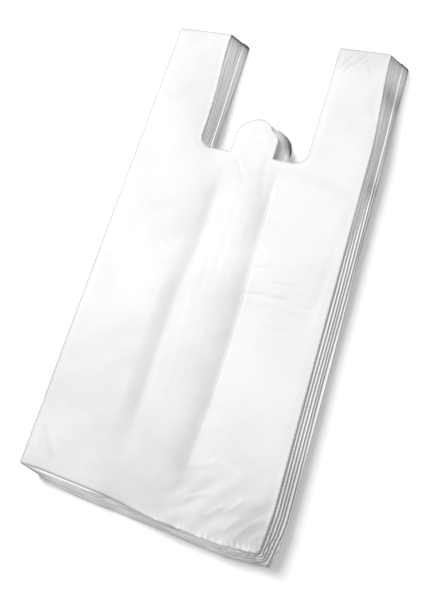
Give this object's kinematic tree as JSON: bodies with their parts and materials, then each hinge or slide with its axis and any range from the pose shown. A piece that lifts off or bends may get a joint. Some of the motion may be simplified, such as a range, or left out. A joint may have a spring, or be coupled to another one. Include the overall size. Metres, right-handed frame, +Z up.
{
  "type": "pad of vest-style plastic carrier bags",
  "caption": "Flat pad of thin white film carrier bags, die-cut with handles, a throat and a half-round hanging tab, lying flat.",
  "frame": {"origin": "under the middle of the whole pad, on the surface that it lies on", "axes": "+X across the bags, +Y from the sealed bottom edge to the handle ends, +Z up through the pad"},
  "size_m": [0.2754, 0.551, 0.0135],
  "materials": {
    "film": "thin white high-density polyethylene film, faintly translucent, soft gloss with fine wrinkles"
  },
  "bodies": {
    "root": {"bag_bundle_1": "film", "bag_bundle_2": "film", "bag_bundle_3": "film", "bag_bundle_4": "film", "bag_bundle_5": "film", "bag_bundle_6": "film"}
  },
  "joints": []
}
